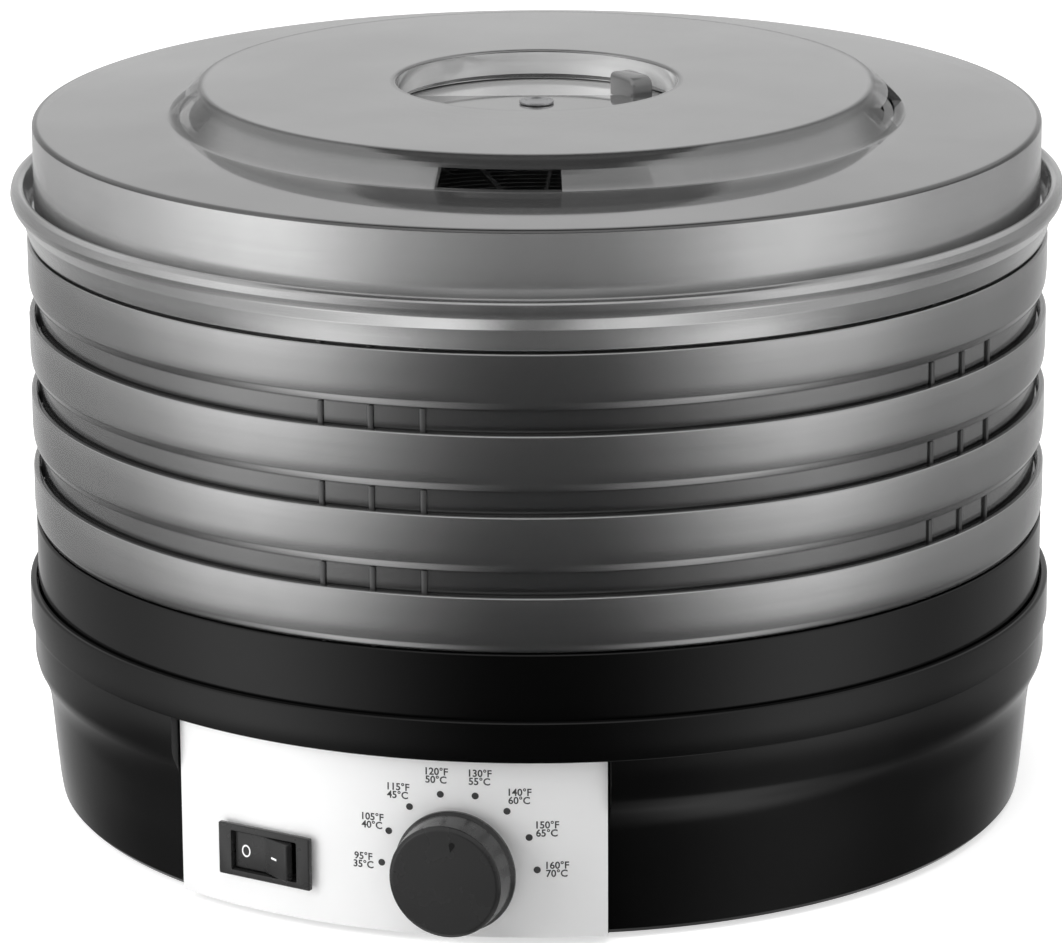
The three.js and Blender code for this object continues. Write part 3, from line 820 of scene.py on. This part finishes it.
done(panel_print(), "base", "panel_silver", INK)


# ---- switch ----

BEZEL_BACK_Y = -(PANEL_R + 0.3)


def switch_bezel():
    back = BEZEL_BACK_Y
    flange = box_piece("bezel_flange", (32.5, 1.9, 16.4), (0, back - 0.95, SWITCH_Z), 0.5)
    body = box_piece("bezel_body", (26.4, 17, 13.2), (0, back + 8, SWITCH_Z), 0.3, 2)
    well = box_piece("bezel_well", (23.4, 26, 12.6), (0, back - 1.9, SWITCH_Z), 0.4, 3)
    flange = carve(flange, [body], "UNION")
    return turn_z(carve(flange, [well]), SWITCH_ANGLE)


done(switch_bezel(), "base", "black_matt", SWITCH_BLACK, "switch_bezel")

ROCKER_HALF = 10.7
ROCKER_LIP = -3.6
ROCKER_DISH = 1.9
ROCKER_TILT = 11
ROCKER_PIVOT_Y = BEZEL_BACK_Y - 1.9 + 3


def rocker_place(obj):
    """From the rocker's own frame, pivot at the origin, to its place at rest."""
    turn_z(obj, -ROCKER_TILT)
    shift(obj, 0, ROCKER_PIVOT_Y, SWITCH_Z)
    return turn_z(obj, SWITCH_ANGLE)


def switch_rocker():
    """The rocker, with a face that is hollow in the middle."""
    face = []
    for i in range(13):
        t = i / 12
        u = -ROCKER_HALF + 2 * ROCKER_HALF * t
        dish = ROCKER_DISH * (1 - abs(2 * t - 1)) ** 1.15
        face.append((u, ROCKER_LIP + dish))
    outline = face + [(10.2, -0.4), (4, 5), (-4, 5), (-10.2, -0.4)]
    rocker = prism("rocker_body", outline, -5.8, 5.8, 25)
    round_edges(rocker, 0.45, 3, 35)
    shade(rocker, 40)
    return rocker_place(rocker)


done(switch_rocker(), "rocker", "switch_black", SWITCH_BLACK, "switch_rocker")


def rocker_marks():
    """A ring and a dash, lying on the two halves of the rocker's face."""
    ring = lathe("mark_ring", rounded([(1.25, 0), (1.7, 0), (1.7, 0.12), (1.25, 0.12)]), sides=40)
    transform(ring, Matrix.Rotation(math.radians(90), 4, "X"))
    transform(ring, Matrix.Diagonal((0.9, 1, 1.15, 1)))
    slope = math.degrees(math.atan2(ROCKER_DISH, ROCKER_HALF))
    turn_z(ring, slope)
    shift(ring, -6.6, ROCKER_LIP + 0.62, 0)
    dash = box_piece("mark_dash", (2.6, 0.12, 0.6), (0, 0, 0))
    turn_z(dash, -slope)
    shift(dash, 4.6, ROCKER_LIP + 0.95, 0)
    return rocker_place(merge("rocker_marks", [ring, dash]))


done(rocker_marks(), "rocker", "switch_black", WHITE_INK)


# ---- knob ----

KNOB_BODY_FACE = KNOB_FACE - 0.1
POINTER_ANGLE = 12


def facing_front(obj, x, z):
    """Turns a piece made along +Z so that it stands out of the front."""
    transform(obj, Matrix.Rotation(math.radians(90), 4, "X"))
    return shift(obj, x, 0, z)


def knob():
    outline = rounded([
        (0, 161), (10, 161), (16.2, 161), (17.4, KNOB_BACK, 0.3), (18.8, KNOB_BACK, 0.4),
        (18.8, KNOB_BACK + 1.3, 0.6), (17.9, KNOB_BACK + 2.3, 0.5), (17.3, KNOB_FACE - 0.9, 0.9),
        (16.2, KNOB_BODY_FACE, 1.2), (0, KNOB_BODY_FACE),
    ], 6)
    return facing_front(lathe("knob_body", outline, sides=128, smooth_angle=40), KNOB_X, KNOB_Z)


done(knob(), "knob", "knob_black", KNOB_BLACK, "thermostat_knob")


def knob_pointer():
    """A small raised drop near the rim of the knob's face."""
    outline = arc((0, 12.2), 0.9, -30, 210, 12) + [(0, 10)]
    pointer = prism("knob_pointer", outline, KNOB_FACE - 0.15, KNOB_FACE)
    turn_z(pointer, -POINTER_ANGLE)
    return facing_front(pointer, KNOB_X, KNOB_Z)


done(knob_pointer(), "knob", "knob_black", GLOSS_BLACK)


# ---- trays ----

def plain_wall(band):
    """Neck, band and ledge of a tray whose band starts at the height given."""
    return rounded([
        (NECK_R, band - NECK_HEIGHT, 0.5), (NECK_R, band, 0.5), (158.7, band, 0.5),
        (159.7, band + 2.4, 2), (BAND_R, band + 6), (BAND_R, band + BAND_HEIGHT, 0.7),
        (RIM_INNER_R, band + BAND_HEIGHT, 0.5), (RIM_INNER_R, band + LEDGE_HEIGHT, 0.6),
        (BORE_R, band + LEDGE_HEIGHT, 0.6), (BORE_R, band - NECK_HEIGHT, 0.4),
    ])


def flared_wall(band):
    """Neck and flared lip of the top tray."""
    return rounded([
        (NECK_R, band - NECK_HEIGHT, 0.5), (NECK_R, band - 7.1, 0.3), (159.4, band - 6.7, 1),
        (161.4, band, 0.8), (164.2, band + 4, 1.4), (FLARE_R, band + 6.4, 1.4),
        (164.3, band + 8.6, 1.2), (162.4, band + 9.8, 1.4), (160.7, band + 8.8, 1.2),
        (159.2, band + 4, 2), (158.6, band + 0.2, 0.8), (BORE_R, band + 0.2, 0.6),
        (BORE_R, band - NECK_HEIGHT, 0.4),
    ])


NECK_RIB_GROUPS = 5
NECK_RIB_STEP = 5.75  # degrees
NECK_RIB_GAP = 0.3  # from the top of a rib to the band
FLARE_RIB_GAP = 6.8


def neck_ribs(number, band, top_gap):
    """Short upright ribs on the neck, in groups of three, that centre it in the rim below."""
    ribs = []
    height = NECK_HEIGHT - top_gap
    for group in range(NECK_RIB_GROUPS):
        for k in (-1, 0, 1):
            rib = box_piece(
                f"rib_{number}_{group}_{k}", (1.7, 1.3, height - 0.6),
                (0, -NECK_R - 0.1, band - top_gap - height / 2), 0.35, 2,
            )
            ribs.append(turn_z(rib, group * 360 / NECK_RIB_GROUPS + k * NECK_RIB_STEP))
    return ribs


FLOOR_RINGS = 24
FLOOR_BARS = 48
BAR_LIFT = 0.02  # keeps the bars off the rings' own faces


def tray_floor(number, low):
    """A fine grid of rings and spokes round a small hub."""
    parts = [lathe(f"hub_{number}", rounded([
        (15, low), (18.5, low), (18.5, low + TRAY_FLOOR, 0.5), (15, low + TRAY_FLOOR, 0.5),
    ]), sides=48)]
    for i in range(FLOOR_RINGS):
        radius = 24.5 + 5.5 * i
        inner, outer, top = radius - 0.7, radius + 0.7, low + 1.5
        outline = [(inner, low), (outer, low), (outer, top), (inner, top)]
        parts.append(lathe(f"ring_{number}_{radius:.0f}", outline, sides=96))
    for i in range(FLOOR_BARS):
        main = i % 4 == 0
        width, height = (1.8, TRAY_FLOOR) if main else (1.2, 1.7)
        start = 17.5 if main else 52 if i % 2 == 0 else 84
        length = BORE_R + 0.4 - start
        centre = (0, -(start + length / 2), low + height / 2 + BAR_LIFT)
        bar = box_piece(f"bar_{number}_{i}", (width, length, height), centre)
        parts.append(turn_z(bar, 360 / FLOOR_BARS * i))
    return parts


for number in range(1, TRAY_COUNT + 1):
    node = f"tray_{number}"
    floor_low = low_mm(node)[2]
    band_z = floor_low + NECK_HEIGHT
    flared = number == TRAY_COUNT
    wall = lathe(f"wall_{number}", flared_wall(band_z) if flared else plain_wall(band_z))
    ribs = neck_ribs(number, band_z, FLARE_RIB_GAP if flared else NECK_RIB_GAP)
    whole = merge(f"tray_{number}_moulding", [wall, *ribs, *tray_floor(number, floor_low)])
    done(whole, node, "smoke_plastic", LIT_TOP_SMOKE if flared else SMOKE, node)

    def on_rib(r, z):
        return NECK_R + 0.03 < r < NECK_R + 1 and z < band_z - NECK_RIB_GAP - 0.01

    # painted shade on the neck ribs
    second_material(whole, SHADED_RIB_SMOKE, on_rib)


# ---- lid, vent dial and pin ----

PLATFORM_R = 105.5
SLOPE_FOOT = (115, 219.2)
SLOPE_BULGE = 0.44
SHOULDER_Z = 218.4
LID_R = high_mm("lid")[0]
LID_WALL = 1.8
RECESS_R = 44
SHELF_Z = 220.7
SHELF_EDGE = 11  # from the axis to the straight edge of the recess's shelf
SLOT_AZIMUTH = -5.8
SLOT_COUNT = 4
PIN_HOLE_R = 1.9


def slot_cutters(name, start, end, low, high):
    """Blocks across the slope, each from start to end degrees round its slot's middle."""
    cutters = []
    for i in range(SLOT_COUNT):
        azimuth = SLOT_AZIMUTH + 360 / SLOT_COUNT * i
        outline = sector_outline(96, 122, azimuth + start, azimuth + end)
        cutters.append(prism(f"{name}_{i}", outline, low, high))
    return merge(name, cutters)


def pin_bore(name):
    return prism(name, arc((0, 0), PIN_HOLE_R, 0, 350, 35), 210, 226)


def lid_shell():
    """The lid with its raised platform, bulging slope, slots and recess.

    Points close to each rounded corner keep the shading of the flat parts level.
    """
    foot, top = Vector(SLOPE_FOOT), Vector((PLATFORM_R, LID_TOP))
    outward = Vector((top - foot).yx).normalized()
    outward.y = -outward.y
    slope = []
    for i in range(6):
        t = 0.16 + 0.14 * i
        slope.append(tuple(foot.lerp(top, t) + outward * SLOPE_BULGE * 4 * t * (1 - t)) + (3,))
    foot_r, foot_z = SLOPE_FOOT
    under_recess, under_lid, under_shoulder = SHELF_Z - 0.2, LID_TOP - LID_WALL, SHOULDER_Z - LID_WALL
    outline = rounded([
        (LID_R, LID_BOTTOM, 0.5), (LID_R, SHOULDER_Z - 3), (LID_R, SHOULDER_Z, 1.8),
        (LID_R - 3, SHOULDER_Z + 0.05), (foot_r + 1.4, foot_z), (foot_r, foot_z, 1), *slope,
        (PLATFORM_R, LID_TOP, 1.4), (PLATFORM_R - 2, LID_TOP), (RECESS_R + 1.6, LID_TOP),
        (RECESS_R, LID_TOP, 0.9), (RECESS_R, under_recess, 0.4),
        (RECESS_R + LID_WALL, under_recess, 0.4), (RECESS_R + LID_WALL, under_lid, 0.6),
        (PLATFORM_R - 1.4, under_lid, 1), (foot_r - 1.2, foot_z - LID_WALL, 1),
        (LID_R - LID_WALL, under_shoulder, 1.2), (LID_R - LID_WALL, LID_BOTTOM, 0.4),
    ], 6)
    shell = lathe("lid_shell", outline)
    shelf_r = RECESS_R + 1.2
    start = math.degrees(math.asin(SHELF_EDGE / shelf_r))
    shelf_outline = arc((0, 0), shelf_r, 180 - start, 360 + start, 48)
    shelf = prism("lid_shelf", shelf_outline, SHELF_Z - 1.9, SHELF_Z)
    track = prism("tab_track", sector_outline(29.5, 39.5, 90 + 10, 90 + 60, 3), 210, 226)
    shelf = carve(shelf, [track, pin_bore("pin_hole")])
    shell = carve(shell, [slot_cutters("lid_slots", -9.5, 9.5, foot_z + 0.2, 225)])
    return turn_z(merge("lid_shell", [shell, shelf]), LID_TURN)


def on_skirt(r, z):
    return r > LID_R - 2.6 and z < SHOULDER_Z - 1


def on_recess_wall(r, z):
    return RECESS_R - 0.4 < r < RECESS_R + 0.3 and SHELF_Z < z < LID_TOP - 1


lid_piece = lid_shell()
done(lid_piece, "lid", "smoke_plastic", LID_SMOKE, "lid")
# painted light: the skirt gets the lighter copy of the lid plastic
second_material(lid_piece, LIT_SKIRT_SMOKE, on_skirt)
# painted light on the recess wall
second_material(lid_piece, LIT_RECESS_SMOKE, on_recess_wall)

DIAL_FLOOR_Z = 218.4
DIAL_ROOF_Z = 226.1
DIAL_WALL = 1.6
TAB_AZIMUTH = 120
TAB_RADIUS = 34.5
TAB_HALF_WIDTH = 7.4
TAB_HEIGHT = 8
TAB_HALF_THICKNESS = 3.8


def finger_tab():
    """Upright tab with one well-rounded shoulder, made on its side and stood up on the dial's floor."""
    tab = prism("dial_tab", rounded([
        (-TAB_HALF_WIDTH, 0), (TAB_HALF_WIDTH, 0), (TAB_HALF_WIDTH, TAB_HEIGHT, 2.4),
        (-TAB_HALF_WIDTH, TAB_HEIGHT, 6.5),
    ], 8), -TAB_HALF_THICKNESS, TAB_HALF_THICKNESS)
    transform(tab, Matrix.Rotation(math.radians(90), 4, "X"))
    turn_z(tab, TAB_AZIMUTH)
    x, y = direction(TAB_AZIMUTH)
    shift(tab, TAB_RADIUS * x, TAB_RADIUS * y, DIAL_FLOOR_Z - 0.1)
    round_edges(tab, 1.2, 4)
    return tab


def vent_dial():
    """The shutter under the lid: a floor in the recess, a roof round it, and a slope with windows."""
    floor, roof = DIAL_FLOOR_Z, DIAL_ROOF_Z
    under_floor, under_roof = floor - DIAL_WALL, roof - DIAL_WALL
    foot_r, foot_z = SLOPE_FOOT
    collar = RECESS_R + LID_WALL + 1.1
    outline = rounded([
        (0, under_floor), (collar + DIAL_WALL, under_floor, 0.6), (collar + DIAL_WALL, under_roof, 0.6),
        (PLATFORM_R - 3.8, under_roof, 0.8), (foot_r - 4.8, foot_z - 2.4, 0.4),
        (foot_r - 3.2, foot_z - 1.2, 0.4), (PLATFORM_R - 2.9, roof, 1), (collar, roof, 0.6),
        (collar, floor, 0.6), (0, floor),
    ])
    shell = lathe("dial_shell", outline)
    windows = slot_cutters("dial_windows", -10.5, 24, 218.3, 225.2)
    shell = carve(shell, [pin_bore("dial_pin_hole"), windows])
    return turn_z(merge("dial_shell", [shell, finger_tab()]), LID_TURN)


def on_dial_floor(r, z):
    return r < RECESS_R + 2 and z < DIAL_FLOOR_Z + 0.6


def on_tab(r, z):
    return 25 < r < 41 and z > DIAL_FLOOR_Z + 0.4


dial_piece = vent_dial()
done(dial_piece, "vent", "smoke_plastic", DIAL_SMOKE, "vent_dial")
# painted light on the dial's floor
second_material(dial_piece, LIT_RECESS_SMOKE, on_dial_floor)
second_material(dial_piece, TAB_SMOKE, on_tab)


def vent_pin():
    """The rivet that holds the dial: a head over the recess's shelf and a washer under the dial."""
    outline = rounded([
        (0, 215.2), (5, 215.2, 0.4), (5, 216.5), (1.6, 216.5), (1.6, SHELF_Z + 0.3),
        (5.4, SHELF_Z + 0.3), (5.4, SHELF_Z + 0.9, 0.5), (3.6, SHELF_Z + 1.2, 0.3),
        (3.2, SHELF_Z + 0.8, 0.2), (0, SHELF_Z + 0.8),
    ])
    return lathe("vent_rivet", outline, sides=48)


done(vent_pin(), "lid", "steel", STEEL, "vent_pin")


# ---- CAD nodes that keep their shape ----

SCREWS = [
    f"{kind}_screw_{i}" for kind, count in (("plate", 4), ("bracket", 3), ("duct", 3))
    for i in range(1, count + 1)
]
KEPT = (
    (SHEET, ("thermostat_body", "fan_motor", "motor_bracket", "heater_duct")),
    (STEEL, ("thermostat_shaft", "motor_shaft", "thermal_fuse", *SCREWS)),
    (HOT_WIRE, ("heating_element",)),
    (MICA, ("mica_frame",)),
    (SATIN_BLACK, ("fan_blade", "terminal_block")),
)
for material, names in KEPT:
    for name in names:
        for material_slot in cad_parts[name].material_slots:
            material_slot.material = material


# ---- floor, light and world ----

def pale_floor():
    reach, painted_edge_shade = 40000, 20
    disc = lathe("pale_floor", [(0, -painted_edge_shade), (reach, -painted_edge_shade), (reach, 0), (0, 0)], sides=64)
    shader = Shader("pale_floor", (0.9, 0.9, 0.9), 0.7)
    shader.set("Specular IOR Level", 0.0)
    shader.set("Emission Color", (1, 1, 1, 1))
    shader.set("Emission Strength", 0.62)
    disc.data.materials.append(shader.material)
    disc.visible_glossy = False


pale_floor()


# Heights in the world are the sine of the elevation, and its azimuths are from the camera's.
SIDES_END = 0.5  # height at which the side lights have faded into the ceiling
SIDES_FADE = 0.2
# Side and back lights are (azimuth, power, strength).
SIDE_LIGHTS = ((-66, 7, 1.0), (62, 7.5, 0.84), (-118, 9, 0.3), (118, 9, 0.3))
BACK_LIGHT = (180, 5, 1.0)
BACK_LOW = 0.68
BACK_HIGH = 0.5
CEILING = 0.62
GAP_SETBACK = 0.21
GAP_RADIUS = 0.4
GAP_EDGE = 0.03
GAP_LEVEL = 0.02


def studio_world():
    """What the glossy plastic reflects.

    Two tall soft lights stand either side of the camera with a dark gap between them, weaker ones stand
    behind, and the back is white. Over them is a lit ceiling with a round dark gap in it.
    """
    world = bpy.data.worlds.new("studio")
    world.use_nodes = True
    tree = world.node_tree
    background = tree.nodes["Background"]
    background.inputs["Color"].default_value = (1, 1, 1, 1)
    bpy.context.scene.world = world

    def calculated(operation, a, b=None):
        node = tree.nodes.new("ShaderNodeMath")
        node.operation = operation
        for i, value in enumerate((a, b)):
            if value is None:
                continue
            if isinstance(value, (int, float)):
                node.inputs[i].default_value = value
            else:
                tree.links.new(value, node.inputs[i])
        return node.outputs[0]

    def added(a, b):
        return calculated("ADD", a, b)

    def multiplied(a, b):
        return calculated("MULTIPLY", a, b)

    def length(a, b):
        return calculated("SQRT", added(multiplied(a, a), multiplied(b, b)))

    def between(source, start, end, first, last):
        """A smooth change from first to last as the source goes from start to end."""
        step = tree.nodes.new("ShaderNodeMapRange")
        step.interpolation_type = "SMOOTHSTEP"
        sockets = ("From Min", "From Max", "To Min", "To Max")
        for socket, value in zip(sockets, (start, end, first, last)):
            step.inputs[socket].default_value = value
        tree.links.new(source, step.inputs["Value"])
        return step.outputs["Result"]

    view = tree.nodes.new("ShaderNodeTexCoord").outputs["Generated"]
    split = tree.nodes.new("ShaderNodeSeparateXYZ")
    tree.links.new(view, split.inputs[0])
    x, y, z = split.outputs
    across = calculated("MAXIMUM", length(x, y), 0.05)

    def lobe(azimuth, power, strength):
        """A soft upright light round an azimuth, narrower for a higher power."""
        dx, dy = direction(CAMERA_AZIMUTH + azimuth)
        towards = added(multiplied(x, dx), multiplied(y, dy))
        towards = calculated("MAXIMUM", calculated("DIVIDE", towards, across), 0)
        return multiplied(calculated("POWER", towards, power), strength)

    def from_overhead_gap():
        """Horizontal distance from the middle of the dark gap in the ceiling."""
        dx, dy = direction(CAMERA_AZIMUTH)
        return length(added(x, GAP_SETBACK * dx), added(y, GAP_SETBACK * dy))

    def floor_light():
        """The share of the side lights left at a height: less below the horizon, more again far down."""
        return added(between(z, -0.44, -0.33, 0.3, 1), between(z, -0.8, -0.66, 0.65, 0))

    fade_start = SIDES_END - SIDES_FADE
    sides = lobe(*SIDE_LIGHTS[0])
    for side_light in SIDE_LIGHTS[1:]:
        sides = added(sides, lobe(*side_light))
    sides = multiplied(sides, floor_light())
    back_light = multiplied(lobe(*BACK_LIGHT), between(z, 0.14, 0.3, BACK_LOW, BACK_HIGH))
    low_light = multiplied(added(sides, back_light), between(z, fade_start, SIDES_END, 1, 0))
    gap = between(from_overhead_gap(), GAP_RADIUS - GAP_EDGE, GAP_RADIUS + GAP_EDGE, GAP_LEVEL, 1)
    ceiling = multiplied(between(z, fade_start, SIDES_END, 0, CEILING), gap)
    tree.links.new(added(low_light, ceiling), background.inputs["Strength"])


studio_world()


def area_light(name, azimuth, distance, height, size, power):
    """A round lamp that faces the part. Lengths are in metres, and the azimuth is from the camera's."""
    light = bpy.data.lights.new(name, "AREA")
    light.shape = "DISK"
    light.size = size
    light.energy = power
    lamp = placed(name, light)
    dx, dy = direction(CAMERA_AZIMUTH + azimuth)
    lamp.location = (distance * dx, distance * dy, height)
    lamp.visible_glossy = False
    aim = Vector((0, 0, 0.1)) - lamp.location
    lamp.rotation_euler = aim.to_track_quat("-Z", "Y").to_euler()


area_light("overhead_softbox", -20, 0.6, 2.4, 2.2, 36)
area_light("left_softbox", -62, 2.2, 0.9, 1.6, 34)

bpy.context.scene.view_settings.view_transform = "Standard"
